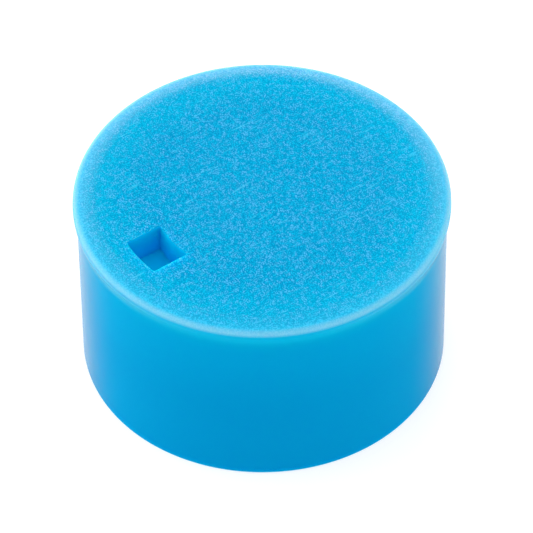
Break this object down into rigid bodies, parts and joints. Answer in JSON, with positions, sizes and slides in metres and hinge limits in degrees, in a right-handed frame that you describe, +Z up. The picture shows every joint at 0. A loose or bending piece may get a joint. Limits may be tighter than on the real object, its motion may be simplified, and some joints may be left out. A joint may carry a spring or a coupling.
{
  "type": "colour-code cap insert",
  "caption": "Short round moulded plug with a grained top, a slightly proud smooth rim, a small pick pocket and a cored underside; presses into a vial cap's recess.",
  "frame": {"origin": "middle of the underside, on the plane that the skirt's end face stands on", "axes": "+Z up the plug's axis towards the grained top face; the pick pocket lies towards -Y"},
  "size_m": [0.0084, 0.0084, 0.0047],
  "materials": {
    "blue_polypropylene": "translucent blue polypropylene: fine spark-eroded grain on the top face, satin on the rim, wall and underside"
  },
  "bodies": {
    "root": {"cap_insert": "blue_polypropylene"}
  },
  "joints": []
}
